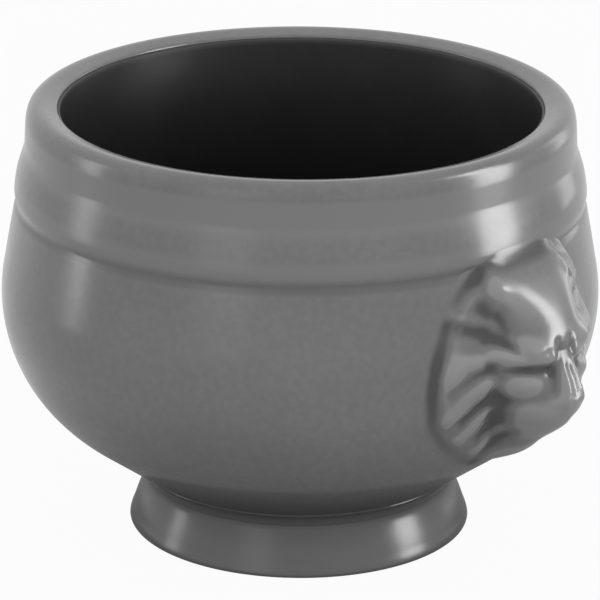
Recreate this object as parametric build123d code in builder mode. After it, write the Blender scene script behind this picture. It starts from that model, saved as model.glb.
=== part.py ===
"""Onion soup crock: a footed stoneware bowl with a lion head lug on each side.

Millimetres, +Z up. The origin is the middle of the foot's standing ring, and the
lion heads look along +X and -X.
"""
from build123d import *
import math
import os

os.makedirs("parts", exist_ok=True)

# Bowl: heights are from the standing plane, radii are from the axis
belly_radius = 60.0
belly_height = 49.2
belly_curve = 33.1
under_angle = 35.8
shoulder_angle = 10.3
bowl_height = 88.6
wall = 5.3
floor_thickness = 6.0
floor_round = 15.0

# Collar band under the rim, with a fine turned groove along its lower edge
collar_drop = 17.3
collar_width = 7.5
collar_bulge = 0.6
groove_width = 1.0
groove_depth = 0.25

# Rim and lip
lip_flare = 0.9
lip_crown = 1.3
rim_round = 2.0
lip_round = 1.4

# Coats and joints: glaze inside the bowl, slip under the foot and the heads
liner_thickness = 0.5
slip_thickness = 0.6

# Foot ring
neck_inset = 29.3
foot_flare = 4.0
seat_width = 4.0
ring_width = 4.8
foot_round = 1.2

# Lion head, seen from its front: across is sideways, up is from the standing plane
head_half_width = 22.8
head_half_height = 21.6
mane_depth = 3.1
edge_depth = 0.8
face_depth = 3.1
brow_depth = 3.3
forehead_depth = 3.1
muzzle_depth = 4.1
nose_depth = 2.0
chin_depth = 2.8
beard_depth = 1.8
cheek_depth = 2.4
ear_depth = 0.6
eye_depth = 2.3
jaw_depth = 1.4
lock_depth = 0.4
lock_start = -9.0
lock_step = 20.5
outline_above = 2.4
outline_below = 1.7
slip_margin = 2.5
mould_step = 1.6

# Points of the bowl's section, worked out from the sizes above
under = math.radians(under_angle)
shoulder = math.radians(shoulder_angle)
curve_centre = belly_radius - belly_curve


def belly_point(angle, depth):
    """Point on the belly's round: angle up from level, depth into the wall."""
    reach = belly_curve - depth
    return (curve_centre + reach * math.cos(angle), belly_height + reach * math.sin(angle))


def under_radius(height, depth):
    """Radius of the cone under the belly at a height."""
    radius, level = belly_point(under - math.pi / 2, depth)
    return radius - (level - height) / math.tan(under)


def shoulder_radius(height, depth):
    """Radius of the leaning wall above the belly at a height."""
    radius, level = belly_point(shoulder, depth)
    return radius - (height - level) * math.tan(shoulder)


def wall_radius(height):
    """Outside radius of the plain wall, from the neck to the collar."""
    if height < belly_point(under - math.pi / 2, 0)[1]:
        return under_radius(height, 0)
    if height > belly_point(shoulder, 0)[1]:
        return shoulder_radius(height, 0)
    return curve_centre + math.sqrt(belly_curve**2 - (height - belly_height) ** 2)


cone_foot = belly_point(under - math.pi / 2, 0)
neck_radius = belly_radius - neck_inset
foot_radius = neck_radius + foot_flare
neck_height = cone_foot[1] - (cone_foot[0] - neck_radius) * math.tan(under)
base_radius = neck_radius - seat_width
base_height = neck_height - seat_width * math.tan(under)
floor_height = base_height + floor_thickness
lip_edge = bowl_height - lip_crown
liner_top = lip_edge - lip_round
rim_radius = shoulder_radius(lip_edge, 0) + lip_flare
lip_inside = shoulder_radius(lip_edge, wall)
collar_height = lip_edge - collar_drop
collar_top = collar_height + collar_width
band_middle = collar_height + collar_width / 2
groove_low = collar_height - groove_width
head_height = groove_low - head_half_height


def inner_wall(depth):
    """Draw the inside of the bowl from the axis up to the lip, depth inside the wall."""
    level = floor_height + depth
    low = belly_point(under - math.pi / 2, wall + depth)
    middle = belly_point(0, wall + depth)
    high = belly_point(shoulder, wall + depth)
    Line((0, level), (under_radius(level, wall + depth), level))
    Line((under_radius(level, wall + depth), level), low)
    ThreePointArc(low, middle, high)


def plain_wall(grow):
    """Draw the solid bowl without collar or lip, grown outwards by a coat."""
    low = belly_point(under - math.pi / 2, 0)
    middle = belly_point(0, 0)
    high = belly_point(shoulder, 0)
    Polyline(
        (0, bowl_height),
        (0, base_height),
        (base_radius + grow, base_height),
        (low[0] + grow, low[1]),
    )
    ThreePointArc((low[0] + grow, low[1]), (middle[0] + grow, middle[1]), (high[0] + grow, high[1]))
    Polyline(
        (high[0] + grow, high[1]),
        (shoulder_radius(bowl_height, 0) + grow, bowl_height),
        (0, bowl_height),
    )


# Bowl body: one turned section with the collar band, the groove and the crowned lip
with BuildPart() as bowl_body:
    with BuildSketch(Plane.XZ) as bowl_section:
        with BuildLine():
            Polyline((0, floor_height), (0, base_height), (base_radius, base_height), cone_foot)
            ThreePointArc(cone_foot, belly_point(0, 0), belly_point(shoulder, 0))
            Line(belly_point(shoulder, 0), (shoulder_radius(groove_low, 0), groove_low))
            ThreePointArc(
                (shoulder_radius(groove_low, 0), groove_low),
                (shoulder_radius(groove_low + groove_width / 2, 0) - groove_depth, groove_low + groove_width / 2),
                (shoulder_radius(collar_height, 0), collar_height),
            )
            ThreePointArc(
                (shoulder_radius(collar_height, 0), collar_height),
                (shoulder_radius(band_middle, 0) + collar_bulge, band_middle),
                (shoulder_radius(collar_top, 0), collar_top),
            )
            Line((shoulder_radius(collar_top, 0), collar_top), (rim_radius, lip_edge))
            ThreePointArc(
                (rim_radius, lip_edge), ((rim_radius + lip_inside) / 2, bowl_height), (lip_inside, lip_edge)
            )
            Line((lip_inside, lip_edge), belly_point(shoulder, wall))
            inner_wall(0)
        make_face()
        corners = bowl_section.vertices()
        fillet(corners.sort_by_distance((rim_radius, lip_edge))[0], rim_round)
        fillet(corners.sort_by_distance((lip_inside, lip_edge))[0], lip_round)
        floor_corner = (under_radius(floor_height, wall), floor_height)
        fillet(bowl_section.vertices().sort_by_distance(floor_corner)[0], floor_round)
    revolve(axis=Axis.Z)

# Liner glaze: an even coat over the inside, up to where the lip starts to round
with BuildPart() as liner_glaze:
    with BuildSketch(Plane.XZ) as liner_section:
        with BuildLine():
            inner_wall(0)
            inner_wall(liner_thickness)
            Line((0, floor_height), (0, floor_height + liner_thickness))
            Polyline(
                belly_point(shoulder, wall),
                (shoulder_radius(liner_top, wall), liner_top),
                (shoulder_radius(liner_top, wall + liner_thickness), liner_top),
                belly_point(shoulder, wall + liner_thickness),
            )
        make_face()
        for depth in (0, liner_thickness):
            level = floor_height + depth
            corner = (under_radius(level, wall + depth), level)
            fillet(liner_section.vertices().sort_by_distance(corner)[0], floor_round - depth)
    revolve(axis=Axis.Z)

# Foot slip: the luting ring between the bowl's cone and the foot's seat
with BuildPart() as foot_slip:
    with BuildSketch(Plane.XZ):
        with BuildLine():
            Polyline(
                (base_radius, base_height),
                (neck_radius, neck_height),
                (neck_radius, neck_height - slip_thickness),
                (base_radius, base_height - slip_thickness),
                close=True,
            )
        make_face()
    revolve(axis=Axis.Z)

# Pedestal foot: a flared ring, hollow beneath, that stands on a narrow flat
ring_inside = foot_radius - ring_width
with BuildPart() as pedestal_foot:
    with BuildSketch(Plane.XZ) as foot_section:
        with BuildLine():
            Polyline(
                (foot_radius, 0),
                (neck_radius, neck_height - slip_thickness),
                (base_radius, base_height - slip_thickness),
                (ring_inside, 0),
                close=True,
            )
        make_face()
        ring_corners = foot_section.vertices().sort_by(Axis.Y)[:2]
        fillet(ring_corners, foot_round)
    revolve(axis=Axis.Z)


def outline_power(up):
    """Fullness of the head's outline: broad above the middle, drawn in below it."""
    return outline_above if up > head_height else outline_below


def outline_ratio(across, up):
    """0 at the middle of the head and 1 on its outline."""
    power = outline_power(up)
    side = abs(across) / head_half_width
    rise = abs(up - head_height) / head_half_height
    return (side**power + rise**power) ** (1 / power)


def outline_points(grow):
    """Points round the head's outline, moved outwards by grow."""
    points = []
    for step in range(32):
        turn = 2 * math.pi * step / 32
        power = outline_above if math.sin(turn) > 0 else outline_below
        side = math.copysign(abs(math.cos(turn)) ** (2 / power), math.cos(turn))
        rise = math.copysign(abs(math.sin(turn)) ** (2 / power), math.sin(turn))
        points.append((side * (head_half_width + grow), head_height + rise * (head_half_height + grow)))
    return points


def dome(across, up, middle, half_sizes):
    """Soft round pad of clay, 1 at its middle and 0 beyond its half sizes, with its twin across the face."""
    total = 0.0
    for side in {middle[0], -middle[0]}:
        sideways = (across / head_half_width - side) / half_sizes[0]
        rise = ((up - head_height) / head_half_height - middle[1]) / half_sizes[1]
        total += max(0.0, 1 - sideways**2 - rise**2) ** 2
    return total


def locks(across, up):
    """Locks of the mane: ridges that fan out from the brow, between the cheek and the outline."""
    side = abs(across) / head_half_width
    rise = (up - head_height) / head_half_height
    turn = math.degrees(math.atan2(rise - 0.44, side - 0.31))
    band = math.exp(-(((outline_ratio(across, up) - 0.85) / 0.18) ** 2))
    below = 1 / (1 + math.exp((turn - 8) / 4))
    apart = 1 - math.exp(-((side / 0.15) ** 2))
    return band * below * apart * math.cos(2 * math.pi * (turn - lock_start) / lock_step)


def head_relief(across, up):
    """Height of the lion's face over its bed, along the pull of the press mould."""
    relief = mane_depth - (mane_depth - edge_depth) * outline_ratio(across, up) ** 3
    relief += face_depth * dome(across, up, (0.0, 0.06), (0.60, 0.99))
    relief += brow_depth * dome(across, up, (0.35, 0.46), (0.42, 0.64))
    relief += forehead_depth * dome(across, up, (0.0, 0.50), (0.54, 0.51))
    relief += muzzle_depth * dome(across, up, (0.0, -0.25), (0.48, 0.74))
    relief += nose_depth * dome(across, up, (0.06, -0.04), (0.11, 0.33))
    relief += chin_depth * dome(across, up, (0.0, -0.35), (0.50, 0.47))
    relief += beard_depth * dome(across, up, (0.0, -0.78), (0.33, 0.18))
    relief += cheek_depth * dome(across, up, (0.34, -0.06), (0.19, 0.44))
    relief += ear_depth * dome(across, up, (0.65, 0.72), (0.24, 0.16))
    relief -= eye_depth * dome(across, up, (0.39, 0.14), (0.45, 0.10))
    relief -= jaw_depth * dome(across, up, (0.48, -0.40), (0.35, 0.56))
    return relief + lock_depth * locks(across, up)


def bed_reach(across, up):
    """Distance out to the slip that the head lies on."""
    return math.sqrt((wall_radius(up) + slip_thickness) ** 2 - across**2)


# Lion head: a round of clay, scooped out to fit the slip on the belly, then pressed to the mould's front,
# which is lofted through level sections of the face
columns = math.ceil(1.2 * head_half_width / mould_step)
levels = math.ceil(1.12 * head_half_height / mould_step)
stations = [0.5 + column / (2 * columns) for column in range(-columns, columns + 1)]
mould_back = bed_reach(head_half_width, head_height - head_half_height) - 2 * head_half_width
with BuildPart() as lion_head_right:
    with BuildSketch(Plane.YZ):
        with BuildLine():
            Spline(outline_points(0), periodic=True)
        make_face()
    extrude(amount=2 * belly_radius)
    with BuildSketch(Plane.XZ):
        with BuildLine():
            plain_wall(slip_thickness)
        make_face()
    revolve(axis=Axis.Z, mode=Mode.SUBTRACT)
    for level in range(-levels, levels + 1):
        up = head_height + level * mould_step
        front = []
        for column in range(-columns, columns + 1):
            across = column * mould_step
            front.append((bed_reach(across, up) + head_relief(across, up), across))
        with BuildSketch(Plane.XY.offset(up)):
            with BuildLine():
                add(Edge.make_spline(front, parameters=stations))
                Polyline(front[0], (mould_back, front[0][1]), (mould_back, front[-1][1]), front[-1])
            make_face()
    loft(ruled=True, mode=Mode.INTERSECT)

# Lion slip: the luting bed behind the head, kept inside the head's outline
with BuildPart() as lion_slip_right:
    with BuildSketch(Plane.XZ):
        with BuildLine():
            plain_wall(slip_thickness)
        make_face()
    revolve(axis=Axis.Z)
    with BuildSketch(Plane.XZ):
        with BuildLine():
            plain_wall(0)
        make_face()
    revolve(axis=Axis.Z, mode=Mode.SUBTRACT)
    with BuildSketch(Plane.YZ):
        with BuildLine():
            Spline(outline_points(-slip_margin), periodic=True)
        make_face()
    extrude(amount=2 * belly_radius, mode=Mode.INTERSECT)

# The left head and its slip are the same pieces on the other side
with BuildPart() as lion_head_left:
    mirror(lion_head_right.part, about=Plane.YZ)
with BuildPart() as lion_slip_left:
    mirror(lion_slip_right.part, about=Plane.YZ)

pieces = {
    "bowl_body": bowl_body,
    "liner_glaze": liner_glaze,
    "foot_slip": foot_slip,
    "pedestal_foot": pedestal_foot,
    "lion_head_right": lion_head_right,
    "lion_slip_right": lion_slip_right,
    "lion_head_left": lion_head_left,
    "lion_slip_left": lion_slip_left,
}
for name, piece in pieces.items():
    piece.part.label = name
    export_step(piece.part, f"parts/{name}.step")
    print(name, round(piece.part.volume), "mm3")
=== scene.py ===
# %% [markdown]
# A footed stoneware soup crock, fired in a glossy grey glaze, with a lion head lug pressed
# onto each side. The measured model is loaded first. It stays still as a frame, and every piece
# made here sits in the place the frame gives it. Its box is kept.

# %% Load the frame
import bpy
import bmesh
import math
from mathutils import Matrix, Vector


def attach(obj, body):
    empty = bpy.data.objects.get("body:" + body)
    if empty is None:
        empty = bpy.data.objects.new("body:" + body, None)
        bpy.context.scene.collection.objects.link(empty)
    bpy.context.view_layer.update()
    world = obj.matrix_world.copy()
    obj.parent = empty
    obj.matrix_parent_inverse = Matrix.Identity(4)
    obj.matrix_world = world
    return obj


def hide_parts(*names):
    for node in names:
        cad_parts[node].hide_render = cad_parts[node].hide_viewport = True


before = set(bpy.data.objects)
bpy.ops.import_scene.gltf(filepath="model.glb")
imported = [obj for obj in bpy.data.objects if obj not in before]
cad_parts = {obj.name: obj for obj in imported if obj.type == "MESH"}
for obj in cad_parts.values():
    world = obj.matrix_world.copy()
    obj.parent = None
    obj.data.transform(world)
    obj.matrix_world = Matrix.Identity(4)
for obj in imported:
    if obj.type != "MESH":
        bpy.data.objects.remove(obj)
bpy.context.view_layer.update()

MM = 0.001

# %% [markdown]
# The camera stands a little above the rim, far away with a long lens, so the round mouth
# shows as a flat ellipse and the sides hardly converge. It is turned so that one lion looks
# out to the right of the picture. The turns are written as matrices: stand upright, tilt
# down, then walk round the crock.

# %% Camera
view_turn = math.radians(43.0)
camera_away, camera_up = 0.81207, 0.33775
camera_tilt = math.radians(70.251)
camera_roll = 0.0057

lens = bpy.data.cameras.new("studio_camera")
lens.lens = 256.67
lens.sensor_width = 36.0
studio_camera = bpy.data.objects.new("studio_camera", lens)
bpy.context.collection.objects.link(studio_camera)
stand = Matrix.Translation((camera_away * math.sin(view_turn),
                            -camera_away * math.cos(view_turn), camera_up))
aim = Matrix.Rotation(view_turn, 4, "Z") @ Matrix.Rotation(camera_tilt, 4, "X")
level = Matrix.Rotation(camera_roll, 4, "Z")
studio_camera.matrix_world = stand @ aim @ level
bpy.context.scene.camera = studio_camera
bpy.context.scene.view_settings.view_transform = "Standard"
print("camera at", [round(c, 3) for c in studio_camera.matrix_world.translation])

# %% [markdown]
# A product table is a pale sheet under the crock and white all around it. The Light Path
# node shows the sheet almost white to the camera. In the gloss it is dim close to the crock,
# where the crock's own shade lies, and brightens further out. Underneath, it is a plain matt
# grey that catches the soft shadow.

# %% Floor and white surround
paper_grey, white_to_camera = 0.35, 0.96
near_crock, far_from_crock = 0.045, 0.10
gloss_near, gloss_far = 0.12, 0.9
surround_on_clay, surround_seen = 0.92, 1.0
floor_radius = 4.0


def shader_tree(name):
    finish = bpy.data.materials.new(name)
    finish.use_nodes = True
    finish.node_tree.nodes.clear()
    return finish, finish.node_tree.nodes, finish.node_tree.links


def worked_out(nodes, links, operation, *values):
    """A Math node's result. Each value is a number or another node's output."""
    sum_node = nodes.new("ShaderNodeMath")
    sum_node.operation = operation
    for socket, value in zip(sum_node.inputs, values):
        if isinstance(value, float):
            socket.default_value = value
        else:
            links.new(value, socket)
    return sum_node.outputs[0]


paper, nodes, links = shader_tree("white_paper")
matt = nodes.new("ShaderNodeBsdfDiffuse")
matt.inputs["Color"].default_value = (paper_grey, paper_grey, paper_grey, 1)
glow = nodes.new("ShaderNodeEmission")
glow.inputs["Strength"].default_value = 1.0
path = nodes.new("ShaderNodeLightPath")
away_from_crock = nodes.new("ShaderNodeVectorMath")
away_from_crock.operation = "LENGTH"
links.new(nodes.new("ShaderNodeTexCoord").outputs["Object"], away_from_crock.inputs[0])
brightening = nodes.new("ShaderNodeMapRange")
links.new(away_from_crock.outputs["Value"], brightening.inputs["Value"])
brightening.inputs["From Min"].default_value = near_crock
brightening.inputs["From Max"].default_value = far_from_crock
brightening.inputs["To Min"].default_value = gloss_near
brightening.inputs["To Max"].default_value = gloss_far
seen = worked_out(nodes, links, "MULTIPLY", path.outputs["Is Camera Ray"], white_to_camera)
white_share = worked_out(nodes, links, "MULTIPLY_ADD", path.outputs["Is Glossy Ray"],
                         brightening.outputs["Result"], seen)
mixed = nodes.new("ShaderNodeMixShader")
links.new(white_share, mixed.inputs["Fac"])
links.new(matt.outputs[0], mixed.inputs[1])
links.new(glow.outputs[0], mixed.inputs[2])
out = nodes.new("ShaderNodeOutputMaterial")
links.new(mixed.outputs[0], out.inputs["Surface"])

bm = bmesh.new()
bmesh.ops.create_circle(bm, cap_ends=True, segments=96, radius=floor_radius)
sheet_mesh = bpy.data.meshes.new("paper_floor")
bm.to_mesh(sheet_mesh)
bm.free()
sheet_mesh.materials.append(paper)
paper_floor = bpy.data.objects.new("paper_floor", sheet_mesh)
bpy.context.collection.objects.link(paper_floor)

surround = bpy.data.worlds.new("white_surround")
bpy.context.scene.world = surround
surround.use_nodes = True
nodes, links = surround.node_tree.nodes, surround.node_tree.links
nodes.clear()
path = nodes.new("ShaderNodeLightPath")
shown = worked_out(nodes, links, "MAXIMUM", path.outputs["Is Camera Ray"], path.outputs["Is Glossy Ray"])
shown = worked_out(nodes, links, "MAXIMUM", shown, path.outputs["Is Transmission Ray"])
strength = nodes.new("ShaderNodeMapRange")
links.new(shown, strength.inputs["Value"])
strength.inputs["To Min"].default_value = surround_on_clay
strength.inputs["To Max"].default_value = surround_seen
sky = nodes.new("ShaderNodeBackground")
links.new(strength.outputs["Result"], sky.inputs["Strength"])
sky.inputs["Color"].default_value = (1, 1, 1, 1)
out = nodes.new("ShaderNodeOutputWorld")
links.new(sky.outputs[0], out.inputs["Surface"])
print("floor and surround are white")

# %% [markdown]
# Five soft panels stand round the table, as in a product photograph. A tall one on the right
# puts the strong lights on the lip, the collar, the foot and the lion's brow. A strip on the
# left and one behind on the right are fainter, and all three show only in the gloss. A wide
# faint one in front shows a little and lights a little, and a broad fill lights the clay
# without showing. Each panel is placed by its bearing from the camera's side and turned to
# face the crock.

# %% Lamps
lit_height = 0.05


def soft_panel(name, bearing, away, up, size, brightness, in_gloss, on_clay):
    lamp = bpy.data.lights.new(name, "AREA")
    lamp.shape = "RECTANGLE"
    lamp.size, lamp.size_y = size
    lamp.energy = brightness * math.pi * size[0] * size[1]
    panel = bpy.data.objects.new(name, lamp)
    bpy.context.collection.objects.link(panel)
    turn = view_turn + math.radians(bearing)
    place = Vector((away * math.sin(turn), -away * math.cos(turn), up))
    facing = (place - Vector((0, 0, lit_height))).to_track_quat("Z", "Y")
    panel.matrix_world = Matrix.Translation(place) @ facing.to_matrix().to_4x4()
    panel.visible_glossy = in_gloss
    panel.visible_diffuse = on_clay
    return panel


soft_panel("right_panel", 78, 0.30, 0.155, (0.10, 0.28), 10.5, True, False)
soft_panel("left_strip", -90, 0.50, 0.12, (0.085, 0.28), 3.6, True, False)
soft_panel("back_strip", 128, 0.50, 0.12, (0.12, 0.28), 1.8, True, False)
soft_panel("front_panel", -29, 0.70, 0.20, (0.26, 0.36), 0.65, True, True)
soft_panel("front_fill", 40, 1.00, 0.15, (0.80, 0.50), 1.5, False, True)

# %% [markdown]
# Patterns for the finishes are chains of nodes. These small functions make one link of a
# chain each: a noise, a value fitted to a new range, two colours mixed, a scatter of specks,
# and a belt between two heights. All of them are read from Object coordinates, which are
# metres here, so a noise scale of 40 gives patches of about 25 mm.

# %% Pattern tools
def noise(nodes, links, place, scale, detail):
    pattern = nodes.new("ShaderNodeTexNoise")
    links.new(place, pattern.inputs["Vector"])
    pattern.inputs["Scale"].default_value = scale
    pattern.inputs["Detail"].default_value = detail
    return pattern.outputs["Fac"]


def ranged(nodes, links, value, low_in, high_in, low_out, high_out):
    fit = nodes.new("ShaderNodeMapRange")
    links.new(value, fit.inputs["Value"])
    fit.interpolation_type = "SMOOTHSTEP"
    fit.inputs["From Min"].default_value = low_in
    fit.inputs["From Max"].default_value = high_in
    fit.inputs["To Min"].default_value = low_out
    fit.inputs["To Max"].default_value = high_out
    return fit.outputs["Result"]


def blended(nodes, links, share, first, second):
    mix = nodes.new("ShaderNodeMix")
    mix.data_type = "RGBA"
    links.new(share, mix.inputs["Factor"])
    for socket, colour in ((mix.inputs[6], first), (mix.inputs[7], second)):
        if isinstance(colour, tuple):
            socket.default_value = colour + (1,)
        else:
            links.new(colour, socket)
    return mix.outputs[2]


def specks(nodes, links, place, scale, size, share):
    cells = nodes.new("ShaderNodeTexVoronoi")
    links.new(place, cells.inputs["Vector"])
    cells.inputs["Scale"].default_value = scale
    near = ranged(nodes, links, cells.outputs["Distance"], size * 0.5, size, 1.0, 0.0)
    parts = nodes.new("ShaderNodeSeparateColor")
    links.new(cells.outputs["Color"], parts.inputs["Color"])
    chosen = worked_out(nodes, links, "LESS_THAN", parts.outputs["Red"], share)
    return worked_out(nodes, links, "MULTIPLY", near, chosen)


def belt(nodes, links, height, start, full, last, end):
    """1 between two heights, fading out below and above them."""
    rise = ranged(nodes, links, height, start, full, 0.0, 1.0)
    fall = ranged(nodes, links, height, end, last, 0.0, 1.0)
    return worked_out(nodes, links, "MULTIPLY", rise, fall)


def toned(colour, tone):
    """The colour made darker by a tone below 1, or lighter by one above 1."""
    return tuple(c * tone for c in colour)


print("pattern tools ready, for example half of white:", toned((1.0, 1.0, 1.0), 0.5))

# %% [markdown]
# The outside glaze is a glossy mid grey. Real glaze is never one even colour: it drifts a
# little where it went on thick or thin, has a fine mottle and a few dark iron specks, and its
# surface has a slight orange-peel. Painted shade makes it darker low on the bowl and at the
# neck under the belly. In the crease under the collar it is darker from pooled glaze and from
# painted shade. It is lighter on the collar's edge, where the glaze ran thin, and a painted
# light makes it lighter under the lip. On the lion heads an attribute makes the hollows and a
# band along the mane's outline darker, with pooled glaze and painted shade, and the edges
# lighter, where the glaze ran thin. The locks are lighter from thin glaze and painted light,
# and the cheeks carry a painted sheen.

# %% Outside glaze
thick_grey = (0.154, 0.154, 0.157)
thin_grey = (0.171, 0.171, 0.173)
glossy, glossy_shine = 0.22, 0.5
drift_scale, mottle_scale, wear_scale, peel_scale = 38, 620, 90, 420
mottle_share, mottle_tone = 0.16, 0.6
# painted shade: the glaze is made darker towards the bottom of the crock
low_start, low_full, low_shade_share, low_shade_tone = 0.030, 0.012, 0.9, 0.70
glaze_belts = {
    # painted shade at the neck, under the belly's overhang
    "neck": ((0.004, 0.010, 0.014, 0.024), 0.52),
    # pooled glaze and painted shade in the crease under the collar
    "crease under the collar": ((0.0668, 0.0680, 0.0690, 0.0700), 0.78),
    "collar's edge": ((0.0697, 0.0707, 0.0725, 0.0745), 1.17),
    # painted light on the upright belt under the lip
    "under the lip": ((0.0765, 0.0800, 0.0842, 0.0856), 1.22),
}
lip_start, lip_full = 0.0856, 0.0874
# pooled glaze with painted shade fires darker; thin glaze, painted light and painted sheen lighter
even_coat, pooled_and_shaded_coat, thin_and_sheen_coat = -0.05, 0.55, -0.48
pooled_and_shaded_tone, thin_and_sheen_tone = 0.34, 1.5
speck_scale, speck_size, speck_share, speck_tone = 95, 0.035, 0.10, 0.2
gloss_drift = 0.03
peel_strength, peel_depth = 0.12, 0.00006


def glaze(name, thick, thin, gloss, shine, with_pool_shade_and_sheen=False, belted=False, lip_edge=None):
    finish, nodes, links = shader_tree(name)
    place = nodes.new("ShaderNodeTexCoord").outputs["Object"]
    drift = ranged(nodes, links, noise(nodes, links, place, drift_scale, 3), 0.3, 0.7, 0.0, 1.0)
    colour = blended(nodes, links, drift, thick, thin)
    mottle = noise(nodes, links, place, mottle_scale, 2)
    mottle = ranged(nodes, links, mottle, 0.35, 0.65, 0.0, mottle_share)
    colour = blended(nodes, links, mottle, colour, toned(thick, mottle_tone))
    axes = nodes.new("ShaderNodeSeparateXYZ")
    links.new(place, axes.inputs[0])
    height = axes.outputs["Z"]
    # painted shade, darker low down
    low = ranged(nodes, links, height, low_start, low_full, 0.0, low_shade_share)
    colour = blended(nodes, links, low, colour, toned(thick, low_shade_tone))
    if belted:
        for heights, tone in glaze_belts.values():
            band = belt(nodes, links, height, *heights)
            colour = blended(nodes, links, band, colour, toned(thick, tone))
    if lip_edge:
        towards_lip = ranged(nodes, links, height, lip_start, lip_full, 0.0, 1.0)
        colour = blended(nodes, links, towards_lip, colour, lip_edge)
    # the attribute darkens hollows and the mane's outline with pooled glaze and painted shade, and lightens
    # edges where the glaze ran thin, the locks also with painted light and the cheeks with a painted sheen
    if with_pool_shade_and_sheen:
        pool_shade_and_sheen = nodes.new("ShaderNodeAttribute")
        pool_shade_and_sheen.attribute_name = "glaze_pool_shade_and_sheen"
        hollow = ranged(nodes, links, pool_shade_and_sheen.outputs["Fac"], even_coat, pooled_and_shaded_coat, 0.0, 1.0)
        colour = blended(nodes, links, hollow, colour, toned(thick, pooled_and_shaded_tone))
        edge = ranged(nodes, links, pool_shade_and_sheen.outputs["Fac"], even_coat, thin_and_sheen_coat, 0.0, 1.0)
        colour = blended(nodes, links, edge, colour, toned(thin, thin_and_sheen_tone))
    iron = specks(nodes, links, place, speck_scale, speck_size, speck_share)
    colour = blended(nodes, links, iron, colour, toned(thick, speck_tone))
    surface = nodes.new("ShaderNodeBsdfPrincipled")
    links.new(colour, surface.inputs["Base Color"])
    rough = noise(nodes, links, place, wear_scale, 3)
    rough = ranged(nodes, links, rough, 0.3, 0.7, gloss - gloss_drift, gloss + gloss_drift)
    links.new(rough, surface.inputs["Roughness"])
    surface.inputs["Specular IOR Level"].default_value = shine
    peel = nodes.new("ShaderNodeBump")
    peel.inputs["Strength"].default_value = peel_strength
    peel.inputs["Distance"].default_value = peel_depth
    links.new(noise(nodes, links, place, peel_scale, 2), peel.inputs["Height"])
    links.new(peel.outputs["Normal"], surface.inputs["Normal"])
    out = nodes.new("ShaderNodeOutputMaterial")
    links.new(surface.outputs[0], out.inputs["Surface"])
    return finish


outer_glaze = glaze("grey_glaze", thick_grey, thin_grey, glossy, glossy_shine, belted=True)
lion_glaze = glaze("lion_glaze", thick_grey, thin_grey, glossy, glossy_shine, with_pool_shade_and_sheen=True)
print("made", outer_glaze.name, "and", lion_glaze.name)

# %% [markdown]
# Inside, the crock has a darker satin glaze, close to charcoal, which turns a paler grey
# towards the lip. The standing ring is wiped clean before the firing, so bare stoneware shows
# there: a warm grey clay with sand grains. The luting slip between the pieces is the same
# clay, finer.

# %% Liner glaze and bare clay
thick_charcoal = (0.020, 0.020, 0.021)
thin_charcoal = (0.025, 0.025, 0.026)
charcoal_at_lip = (0.070, 0.070, 0.072)
satin, satin_shine = 0.42, 0.13
sand_size, sand_share, sand_tone = 0.16, 0.3, 0.55
tooth_strength, tooth_depth = 0.35, 0.0002


def clay(name, dark, light, grain):
    finish, nodes, links = shader_tree(name)
    place = nodes.new("ShaderNodeTexCoord").outputs["Object"]
    colour = blended(nodes, links, noise(nodes, links, place, grain, 5), dark, light)
    sand = specks(nodes, links, place, grain * 0.6, sand_size, sand_share)
    colour = blended(nodes, links, sand, colour, toned(dark, sand_tone))
    surface = nodes.new("ShaderNodeBsdfPrincipled")
    links.new(colour, surface.inputs["Base Color"])
    rough = ranged(nodes, links, noise(nodes, links, place, grain * 2, 2), 0.3, 0.7, 0.75, 0.95)
    links.new(rough, surface.inputs["Roughness"])
    tooth = nodes.new("ShaderNodeBump")
    tooth.inputs["Strength"].default_value = tooth_strength
    tooth.inputs["Distance"].default_value = tooth_depth
    links.new(noise(nodes, links, place, grain * 1.5, 4), tooth.inputs["Height"])
    links.new(tooth.outputs["Normal"], surface.inputs["Normal"])
    out = nodes.new("ShaderNodeOutputMaterial")
    links.new(surface.outputs[0], out.inputs["Surface"])
    return finish


liner_finish = glaze("charcoal_liner", thick_charcoal, thin_charcoal, satin, satin_shine,
                     lip_edge=charcoal_at_lip)
bare_clay = clay("bare_clay", (0.30, 0.275, 0.25), (0.42, 0.39, 0.36), 700)
slip_clay = clay("slip_clay", (0.27, 0.25, 0.235), (0.36, 0.335, 0.31), 1400)
print("made", liner_finish.name, bare_clay.name, slip_clay.name)

# %% [markdown]
# A bowl is thrown on a wheel, so its surface is one section turned about the upright axis.
# The section is drawn as a chain of edges: a pen that draws straight to a point, and one that
# swings round a centre with the spin operator. Sharp corners are rounded with a vertex
# bevel, and one more spin, all the way round, turns the section into the pot.

# %% Throwing tools
turn_steps = 240


def start_pen(bm, across, up):
    return bm.verts.new((across * MM, 0, up * MM))


def pen_line(bm, tip, across, up):
    new_tip = bm.verts.new((across * MM, 0, up * MM))
    bm.edges.new((tip, new_tip))
    return new_tip


def pen_arc(bm, tip, centre, degrees, steps):
    swung = bmesh.ops.spin(
        bm, geom=[tip], cent=(centre[0] * MM, 0, centre[1] * MM), axis=(0, -1, 0),
        angle=math.radians(degrees), steps=steps, use_duplicate=False)
    return [g for g in swung["geom_last"] if isinstance(g, bmesh.types.BMVert)][0]


def round_corner(bm, corner, reach, segments):
    bmesh.ops.bevel(bm, geom=[corner], offset=reach * MM, offset_type="OFFSET", segments=segments,
                    profile=0.5, affect="VERTICES", material=-1)


def throw(bm, name, *finishes):
    bmesh.ops.spin(bm, geom=bm.verts[:] + bm.edges[:], cent=(0, 0, 0), axis=(0, 0, 1),
                   angle=2 * math.pi, steps=turn_steps, use_merge=True, use_duplicate=False)
    bmesh.ops.remove_doubles(bm, verts=bm.verts[:], dist=1e-6)
    bmesh.ops.recalc_face_normals(bm, faces=bm.faces[:])
    return keep(bm, name, *finishes)


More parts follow.
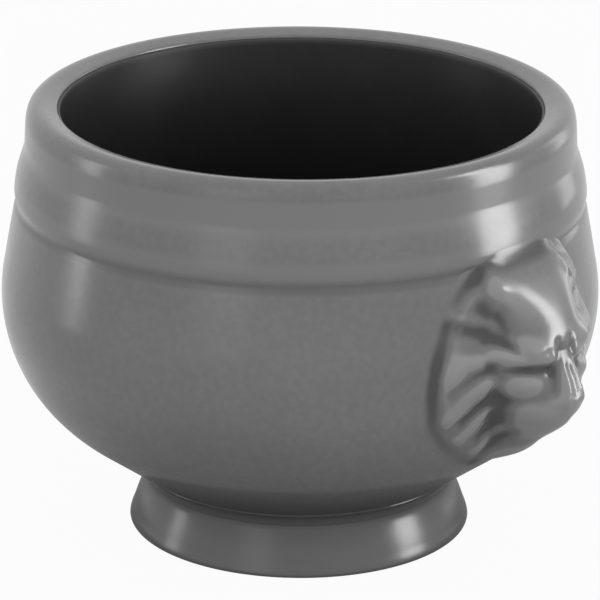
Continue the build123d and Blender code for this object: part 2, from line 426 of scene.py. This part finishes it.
def keep(bm, name, *finishes):
    for face in bm.faces:
        face.smooth = True
    mesh = bpy.data.meshes.new(name)
    bm.to_mesh(mesh)
    bm.free()
    for finish in finishes:
        mesh.materials.append(finish)
    piece = bpy.data.objects.new(name, mesh)
    bpy.context.collection.objects.link(piece)
    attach(piece, "root")
    print(name, len(mesh.polygons), "faces, size in mm", [round(c / MM, 1) for c in piece.dimensions])
    return piece


print("one turn of the wheel takes", turn_steps, "steps")

# %% [markdown]
# The bowl's section, in millimetres: a cone rising from the foot, a round belly, a wall that
# leans in, a soft groove, a low collar band that slopes in to an upright belt, a lip with a
# softly rounded top, and the inside at an even thickness. The radii and heights are the
# measured ones. Each bend is a place and how far its rounding reaches.

# %% Bowl body
belly_radius, belly_height, belly_curve = 59.97, 49.2, 33.1
under_slope, shoulder_lean = 35.8, 10.3
belly_sweep = 90 - under_slope + shoulder_lean
under, shoulder = math.radians(under_slope), math.radians(shoulder_lean)
curve_centre = (belly_radius - belly_curve, belly_height)
wall, base_radius, base_height, floor_height = 5.3, 26.7, 8.245, 14.245
cone_steps = 8
collar_bends = [(67.4, 0, 0.8), (68.6, -0.28, 0.5), (69.5, 0.1, 0.5), (70.7, 0.58, 0.9), (74.6, 0.68, 1.2)]
lip_bends = [(54.98, 79.4, 0.7), (54.7, 84.8, 0.6), (54.45, 86.4, 0.75), (53.9, 87.6, 0.65),
             (52.9, 88.35, 0.6), (51.6, 88.55, 0.8), (48.15, 87.6, 0.6)]
inside_of_lip = 85.0
floor_corner = 4.9


def belly_point(angle, depth):
    reach = belly_curve - depth
    return (curve_centre[0] + reach * math.cos(angle), belly_height + reach * math.sin(angle))


def shoulder_radius(height, depth):
    radius, level_height = belly_point(shoulder, depth)
    return radius - (height - level_height) * math.tan(shoulder)


def under_radius(height, depth):
    radius, level_height = belly_point(under - math.pi / 2, depth)
    return radius - (level_height - height) / math.tan(under)


cone_top = belly_point(under - math.pi / 2, 0)[1]
shoulder_start = belly_point(shoulder, 0)[1]


def wall_radius(height):
    if height < cone_top:
        return under_radius(height, 0)
    if height > shoulder_start:
        return shoulder_radius(height, 0)
    return curve_centre[0] + math.sqrt(belly_curve ** 2 - (height - belly_height) ** 2)


bm = bmesh.new()
tip = start_pen(bm, 0, base_height)
tip = pen_line(bm, tip, base_radius, base_height)
for step in range(1, cone_steps + 1):
    height = base_height + (cone_top - base_height) * step / cone_steps
    tip = pen_line(bm, tip, under_radius(height, 0), height)
tip = pen_arc(bm, tip, curve_centre, belly_sweep, 40)
soft_corners = []
for height, out_by, reach in collar_bends:
    tip = pen_line(bm, tip, shoulder_radius(height, 0) + out_by, height)
    soft_corners.append((tip, reach, 3))
for radius, height, reach in lip_bends:
    tip = pen_line(bm, tip, radius, height)
    soft_corners.append((tip, reach, 5))
tip = pen_line(bm, tip, shoulder_radius(inside_of_lip, wall), inside_of_lip)
tip = pen_line(bm, tip, *belly_point(shoulder, wall))
tip = pen_arc(bm, tip, curve_centre, -belly_sweep, 32)
tip = pen_line(bm, tip, under_radius(floor_height, wall), floor_height)
soft_corners.append((tip, floor_corner, 8))
tip = pen_line(bm, tip, 0, floor_height)
for corner, reach, segments in soft_corners:
    round_corner(bm, corner, reach, segments)
bowl = throw(bm, "thrown_bowl", outer_glaze)
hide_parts("bowl_body")

# %% [markdown]
# The liner glaze is a thin coat over the inside, poured in and out again. It ends just under
# the lip, where the outer glaze begins. It is drawn as the inside line twice, half a
# millimetre apart, so it has a real edge.

# %% Liner glaze
coat, coat_corner = 0.5, 4.7
liner_top, edge_slope = 87.2, 0.4
bm = bmesh.new()
tip = start_pen(bm, 0, floor_height)
tip = pen_line(bm, tip, under_radius(floor_height, wall), floor_height)
soft_corners = [(tip, floor_corner, 8)]
tip = pen_line(bm, tip, *belly_point(under - math.pi / 2, wall))
tip = pen_arc(bm, tip, curve_centre, belly_sweep, 40)
tip = pen_line(bm, tip, shoulder_radius(liner_top, wall), liner_top)
tip = pen_line(bm, tip, shoulder_radius(liner_top - edge_slope, wall + coat), liner_top - edge_slope)
tip = pen_line(bm, tip, *belly_point(shoulder, wall + coat))
tip = pen_arc(bm, tip, curve_centre, -belly_sweep, 40)
tip = pen_line(bm, tip, under_radius(floor_height + coat, wall + coat), floor_height + coat)
soft_corners.append((tip, coat_corner, 8))
tip = pen_line(bm, tip, 0, floor_height + coat)
for corner, reach, segments in soft_corners:
    round_corner(bm, corner, reach, segments)
liner = throw(bm, "poured_liner", liner_finish)
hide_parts("liner_glaze")

# %% [markdown]
# The foot is a second thrown ring. Its side swells a little and flares towards the table, its
# lower corners are rounded, and the flat it stands on is wiped bare. A bead of glaze-covered
# slip, smoothed to a hollow curve, fills the crease where it meets the bowl.

# %% Pedestal foot and its bead
neck_radius, neck_height, foot_radius, ring_inside = 30.7, 11.13, 34.7, 29.9
slip_thickness = 0.6
foot_side = [(34.4, 1.4), (33.9, 2.6), (33.4, 4.1), (32.8, 5.7), (32.15, 7.2), (31.62, 8.6), (31.4, 9.6)]
bead_side = [(32.55, 12.4), (31.85, 11.6), (31.47, 10.75), (31.395, 9.95), (31.1, 9.6)]
side_rounding, bead_rounding, outer_rounding, inner_rounding = 0.55, 0.38, 0.7, 1.1
wiped_height = 0.25

bm = bmesh.new()
first = start_pen(bm, foot_radius, 0)
tip = first
bends = []
for radius, height in foot_side:
    tip = pen_line(bm, tip, radius, height)
    bends.append(tip)
tip = pen_line(bm, tip, neck_radius + 0.67, neck_height - slip_thickness - 0.33)
tip = pen_line(bm, tip, neck_radius - 0.1, neck_height - slip_thickness - 0.07)
tip = pen_line(bm, tip, base_radius, base_height - slip_thickness)
last = pen_line(bm, tip, ring_inside, 0)
bm.edges.new((last, first))
for bend in bends:
    round_corner(bm, bend, side_rounding, 3)
round_corner(bm, first, outer_rounding, 6)
round_corner(bm, last, inner_rounding, 6)
foot = throw(bm, "thrown_foot", outer_glaze, bare_clay)
wiped = [face for face in foot.data.polygons if face.center.z < wiped_height * MM]
for face in wiped:
    face.material_index = 1
print("wiped faces:", len(wiped))
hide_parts("pedestal_foot")

bm = bmesh.new()
first = start_pen(bm, base_radius + 1, base_height + 0.1)
bends = [pen_line(bm, first, neck_radius + 3.0, neck_height + 2.22)]
for radius, height in bead_side:
    bends.append(pen_line(bm, bends[-1], radius, height))
last = pen_line(bm, bends[-1], base_radius + 1, base_height - slip_thickness + 0.1)
bm.edges.new((last, first))
for bend in bends[1:4]:
    round_corner(bm, bend, bead_rounding, 4)
bead = throw(bm, "neck_bead", outer_glaze)
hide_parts("foot_slip")

# %% [markdown]
# The lion head is pressed from a mould, so it is a relief: every point of it is pulled
# straight out from the bowl. That makes a grid the natural start. A square grid is drawn out
# to the shape of the mane's outline, which is given by a few points from the top of the mane
# to the beard, and mirrored.

# %% Outline of the mane
mane_outline = [(0.0, 69.6), (6.0, 69.6), (11.4, 68.0), (15.4, 64.2), (18.4, 59.8), (21.2, 53.2),
                (22.2, 46.5), (21.0, 39.8), (16.8, 34.4), (9.5, 29.2), (4.0, 27.2), (0.0, 26.9)]
mane_middle = 48.0
easing_turn = math.radians(3.5)
easing_weights = {-2: 1, -1: 2, 0: 3, 1: 2, 2: 1}


def outline_reach(turn):
    """Distance from the mane's middle to its outline, looking out at an angle from level."""
    way = Vector((abs(math.cos(turn)), math.sin(turn)))
    for (side, up), (next_side, next_up) in zip(mane_outline, mane_outline[1:]):
        start = Vector((side, up - mane_middle))
        run = Vector((next_side, next_up - mane_middle)) - start
        across = way.x * run.y - way.y * run.x
        if abs(across) < 1e-9:
            continue
        far = (start.x * run.y - start.y * run.x) / across
        along = (start.x * way.y - start.y * way.x) / across
        if far > 0 and -0.001 <= along <= 1.001:
            return far
    return 0.0


def smooth_reach(turn):
    """The same, with the corners of the outline eased."""
    total = sum(weight * outline_reach(turn + step * easing_turn) for step, weight in easing_weights.items())
    return total / sum(easing_weights.values())


print("mane reaches", round(smooth_reach(0), 1), "mm to the side and",
      round(smooth_reach(math.pi / 2), 1), "mm up")

# %% [markdown]
# The modeller builds the face from a few kinds of touch: a pad of clay pressed on, a roll
# laid along a line, and a groove drawn with a tool, which is a roll with a minus sign. Each
# is a small function of the place on the head, in millimetres: across from the nose line and
# up from the table. Touches beside the nose line count on both sides of the face.

# %% Modelling touches
def eased(share):
    share = min(1.0, max(0.0, share))
    return share * share * (3 - 2 * share)


def pad(across, up, middle, half, tilt):
    """A soft round pad: 1 at the middle of an oval and 0 on its edge."""
    side, rise = across - middle[0], up - middle[1]
    lean = math.radians(tilt)
    along = (side * math.cos(lean) + rise * math.sin(lean)) / half[0]
    over = (rise * math.cos(lean) - side * math.sin(lean)) / half[1]
    return max(0.0, 1 - along * along - over * over) ** 2


def roll(across, up, line, widths):
    """1 on the line, fading over the width, which changes evenly from the line's start to its end."""
    best = 0.0
    legs = len(line) - 1
    for leg in range(legs):
        (x0, z0), (x1, z1) = line[leg], line[leg + 1]
        run, rise = x1 - x0, z1 - z0
        along = ((across - x0) * run + (up - z0) * rise) / (run * run + rise * rise)
        along = min(1.0, max(0.0, along))
        gap = (across - x0 - along * run) ** 2 + (up - z0 - along * rise) ** 2
        width = widths[0] + (widths[1] - widths[0]) * (leg + along) / legs
        best = max(best, math.exp(-gap / (width * width)))
    return best


def drawn(line, up):
    """A value that changes with height, drawn through a few (height, value) points."""
    shifts = (-1.2, -0.6, 0.0, 0.6, 1.2)
    total = 0.0
    for shift in shifts:
        place = min(line[-1][0], max(line[0][0], up + shift))
        for (low, first), (high, second) in zip(line, line[1:]):
            if place <= high:
                total += first + (second - first) * (place - low) / (high - low)
                break
    return total / len(shifts)


print("a pad is", pad(0, 0, (0, 0), (2, 2), 0), "at its middle and",
      pad(2, 0, (0, 0), (2, 2), 0), "at its edge")

# %% [markdown]
# The lion's face, from the back to the front. First comes its profile along the nose line, as
# a side view would show it, and how far the face spreads to the sides at each height. On that
# swelling lie two brows that meet over the nose, the brow rolls, the eyes in their hollows,
# the cheeks and the broad snub nose. Then the grooves that part the face from the mane, and
# the locks that fan out below the ears. The mane has a steep edge above and runs out low below.
# Lines that change with height are lists of height and value. Touches are lists of the place,
# the size and the height in millimetres.

# %% The lion's face
profile = [(26.5, 0.4), (28.4, 4.0), (30.1, 5.7), (31.6, 6.2), (33.6, 7.1), (36.5, 10.0), (38.8, 11.6),
           (41.0, 12.4), (43.0, 12.0), (45.7, 10.8), (48.0, 9.8), (51.0, 9.0), (53.5, 8.8), (56.0, 8.0),
           (58.0, 6.8), (61.0, 5.2), (64.6, 3.6), (67.0, 2.0), (69.6, 0.4)]
spread = [(26.5, 6.0), (30.0, 7.6), (33.0, 7.6), (36.5, 9.2), (41.0, 11.4), (46.0, 12.6), (52.0, 14.5),
          (56.0, 14.0), (62.0, 12.0), (69.6, 11.0)]
nose = [(40.0, 0.0), (41.5, 0.3), (43.0, 0.9), (44.0, 1.4), (45.2, 1.8), (46.5, 2.0), (49.0, 1.5),
        (51.8, 0.6), (54.0, 0.0)]
nose_half = [(41.0, 3.6), (44.6, 4.0), (46.5, 3.5), (51.0, 2.9), (54.0, 2.6)]
brow_top = [(51.5, 8.2), (54.0, 9.2), (56.0, 9.5), (58.0, 9.2), (60.0, 8.6), (62.0, 7.7), (63.5, 6.8),
            (65.0, 5.7), (67.0, 3.9), (69.0, 1.8), (69.8, 0.6)]
brow_crest = [(53.0, 6.5), (54.0, 5.4), (55.5, 2.8), (57.0, 0.2), (58.8, 0.0), (61.2, 0.3), (63.5, 1.4),
              (65.0, 2.6), (67.0, 4.0), (69.6, 5.0)]
brow_edge = [(51.5, 7.5), (55.0, 9.8), (58.0, 11.0), (63.0, 11.3), (66.0, 11.3), (69.6, 10.5)]
mane_edge = [(26.5, 0.5), (40.0, 0.6), (44.0, 0.9), (48.0, 1.7), (52.0, 1.5), (56.0, 0.8), (60.0, 0.5),
             (69.6, 0.5)]
mane_rise = [(26.5, 0.15), (44.0, 0.16), (52.0, 0.30), (56.0, 0.34), (69.6, 0.34)]
eye = ((5.6, 49.2), (1.8, 1.2), 0, 0.2)
cheek = ((9.2, 47.2), (4.3, 3.1), -12, 1.2)
nostril = ((3.4, 43.9), (2.4, 2.0), 0, 0.45)
frown_line = ([(1.8, 55.6), (2.0, 52.6)], (0.8, 0.9), -0.25)
brow_roll = ([(13.4, 53.8), (8.8, 52.9), (4.4, 52.5), (3.4, 52.8)], (1.4, 1.5), 1.0)
mane_top_roll = ([(17.6, 61.8), (14.2, 64.4), (10.0, 66.0)], (1.4, 1.6), 0.7)
ear_roll = ([(18.2, 61.2), (14.4, 60.4), (11.8, 59.8)], (1.0, 0.9), 0.3)
mane_locks = [
    ([(15.8, 53.0), (18.8, 52.7), (21.0, 50.0)], (1.5, 1.6), 0.5),
    ([(13.4, 48.4), (17.0, 45.2), (19.6, 40.6)], (1.6, 1.6), 0.6),
    ([(11.8, 42.2), (13.6, 39.4), (15.2, 35.7)], (1.2, 1.3), 0.55),
    ([(8.6, 37.2), (8.8, 34.8), (9.0, 31.8)], (1.1, 1.3), 0.55),
]
tool_grooves = [
    ([(13.2, 51.6), (11.8, 47.4), (10.2, 41.6), (7.0, 35.8)], (1.5, 1.5), 0.8),
    ([(12.6, 50.9), (8.0, 50.4), (4.0, 49.8)], (1.1, 1.2), 0.7),
    ([(18.6, 59.4), (14.2, 57.8), (9.8, 55.4)], (1.5, 1.2), 0.7),
    ([(12.8, 51.2), (16.0, 49.8), (20.2, 47.0)], (1.2, 1.5), 0.6),
    ([(11.6, 45.2), (14.0, 42.4), (17.2, 38.2)], (1.1, 1.3), 0.6),
    ([(9.6, 39.8), (10.6, 36.6), (11.8, 33.0)], (1.0, 1.2), 0.5),
    ([(1.6, 39.7), (4.6, 38.0), (8.2, 38.8)], (1.1, 1.1), 0.3),
]


def brow_section(side, up):
    """The brow: flat between the two crests, then rounding off to the temple."""
    away = side - drawn(brow_crest, up)
    if away < 0:
        return drawn(brow_top, up)
    return drawn(brow_top, up) - away ** 2 / 52 - away ** 4 / 3800


def face_relief(across, up, inside):
    side = abs(across)
    depth_in = min(9.0, max(0.0, inside))
    steepness = drawn(mane_rise, up) + 0.5 * eased((13.5 - side) / 4.0) * eased((up - 60.0) / 4.0)
    relief = drawn(mane_edge, up) * eased((inside + 0.6) / 1.8) + steepness * depth_in
    swell = max(0.0, 1 - (side / drawn(spread, up)) ** 2) ** 1.15
    relief += max(0.0, drawn(profile, up) - relief) * swell
    brow = eased((up - 51.5) / 3.5) * eased((drawn(brow_edge, up) + 1.0 - side) / 2.6)
    relief += max(0.0, brow_section(side, up) - relief) * brow
    nose_reach = drawn(nose_half, up)
    relief += drawn(nose, up) * eased((nose_reach - side) / 1.8)
    nose_ridge = max(0.0, 1 - side / (nose_reach - 1.5))
    relief -= 0.6 * nose_ridge * eased((up - 43.6) / 2) * eased((51.8 - up) / 2)
    for middle, half, tilt, height in (eye, cheek, nostril):
        relief += height * pad(side, up, middle, half, tilt)
    for line, widths, height in (frown_line, brow_roll, mane_top_roll, ear_roll):
        relief += height * roll(side, up, line, widths)
    ends = eased(inside / 1.6)
    for line, widths, height in mane_locks:
        relief += height * ends * roll(side, up, line, widths)
    cut = max(depth * roll(side, up, line, widths) for line, widths, depth in tool_grooves)
    return max(relief - ends * cut, 0.8 * eased(inside / 2.0))


print("nose stands", round(face_relief(0, 45.7, 20), 1), "mm out, brow",
      round(face_relief(7.6, 59.4, 12), 1), "mm")

# %% [markdown]
# Now the grid becomes the head. Each point is placed by the outline and pulled out by the
# face's relief. Past the mane's edge a skirt lies on the bowl's skin and then dips just under
# it, so the glaze runs from one onto the other with no seam. A second grid, left plain, is the
# back, and bridging the two rims closes the piece. A few light smoothing touches take off the
# tool marks. To find the hollows, a copy of the front is smoothed many times: where the smooth
# copy lies above the face there is a hollow, which gets pooled glaze and painted shade, and
# where it lies below, on an edge, the glaze ran thin. A band along the mane's outline gets
# pooled glaze and painted shade too. The cheeks get a painted sheen, and the locks are
# lighter from thin glaze and painted light. The left head is the right one mirrored.

# %% Lion heads
rows, skirt = 180, 3.2
back_depth = 0.9
light_touches, pooling_touches = 3, 200
rim_pool_and_shadow, rim_width = 0.22, 1.3
# painted sheen on the cheeks; the locks lighter partly from thin glaze, partly from painted light
cheek_sheen, locks_thin_and_lit = 0.32, 0.3
sheen_middle, sheen_half, sheen_tilt = (8.8, 47.4), (5.6, 3.4), -10


def head_point(flat_x, flat_y):
    """A point of the square grid drawn out to the mane's outline and skirt: across, up and inside."""
    disc = Vector((flat_x * math.sqrt(1 - flat_y ** 2 / 2), flat_y * math.sqrt(1 - flat_x ** 2 / 2)))
    turn = math.atan2(disc.y, disc.x)
    reach = smooth_reach(turn)
    away = disc.length * (reach + skirt)
    return away * math.cos(turn), mane_middle + away * math.sin(turn), reach - away


def bowl_skin(across, up):
    return math.sqrt(wall_radius(up) ** 2 - across ** 2)


def smooth_touches(bm, verts, touches):
    for touch in range(touches):
        bmesh.ops.smooth_vert(bm, verts=verts, factor=0.5, use_axis_x=True)


head = bmesh.new()
pool_shade_and_sheen = head.verts.layers.float.new("glaze_pool_shade_and_sheen")
front = bmesh.ops.create_grid(head, x_segments=rows, y_segments=rows, size=1.0)["verts"]
back = bmesh.ops.create_grid(head, x_segments=rows, y_segments=rows, size=1.0)["verts"]
for vert in front:
    across, up, inside = head_point(vert.co.x, vert.co.y)
    foot_fillet = 0.03 + 0.25 * eased((inside + 2.2) / 2.2)
    relief = face_relief(across, up, inside) + foot_fillet - 0.4 * eased((-2.0 - inside) / 1.2)
    vert.co = Vector((bowl_skin(across, up) + relief, across, up)) * MM
    vert[pool_shade_and_sheen] = inside
for vert in back:
    across, up, inside = head_point(vert.co.x, vert.co.y)
    vert.co = Vector((bowl_skin(across, up) - back_depth, across, up)) * MM
smooth_touches(head, front, light_touches)

softened = head.copy()
softened.verts.ensure_lookup_table()
smooth_touches(softened, softened.verts[:len(front)], pooling_touches)
for vert in front:
    inside = vert[pool_shade_and_sheen]
    side, up = abs(vert.co.y) / MM, vert.co.z / MM
    # pooled glaze and painted contact shade along the mane's outline
    outline_pool_and_shade = rim_pool_and_shadow * math.exp(-((inside + 0.8) / rim_width) ** 2)
    # painted sheen on the cheeks, and locks lighter from thin glaze and painted light
    sheen_and_thin_glaze = cheek_sheen * pad(side, up, sheen_middle, sheen_half, sheen_tilt)
    sheen_and_thin_glaze += locks_thin_and_lit * max(roll(side, up, line, widths) for line, widths, height in mane_locks)
    hollow = (softened.verts[vert.index].co.x - vert.co.x) / MM
    vert[pool_shade_and_sheen] = eased((inside + skirt - 0.6) / 1.8) * (hollow + outline_pool_and_shade - sheen_and_thin_glaze)
softened.free()
print("deepest pool", round(max(vert[pool_shade_and_sheen] for vert in front), 2), "mm")

bmesh.ops.bridge_loops(head, edges=[edge for edge in head.edges if edge.is_boundary])
mirrored_head = head.copy()
bmesh.ops.scale(mirrored_head, vec=(-1, 1, 1), verts=mirrored_head.verts[:])
for name, node, bm in (("pressed_lion_right", "lion_head_right", head),
                       ("pressed_lion_left", "lion_head_left", mirrored_head)):
    bmesh.ops.recalc_face_normals(bm, faces=bm.faces[:])
    lion = keep(bm, name, lion_glaze)
    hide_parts(node)

# %% [markdown]
# The slip beds behind the lion heads are hidden between head and bowl. The measured pieces
# stay, and take the slip's clay.

# %% Slip beds of the heads
for name in ("lion_slip_right", "lion_slip_left"):
    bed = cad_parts[name]
    bed.data.materials.clear()
    bed.data.materials.append(slip_clay)
print("slip beds have their clay")
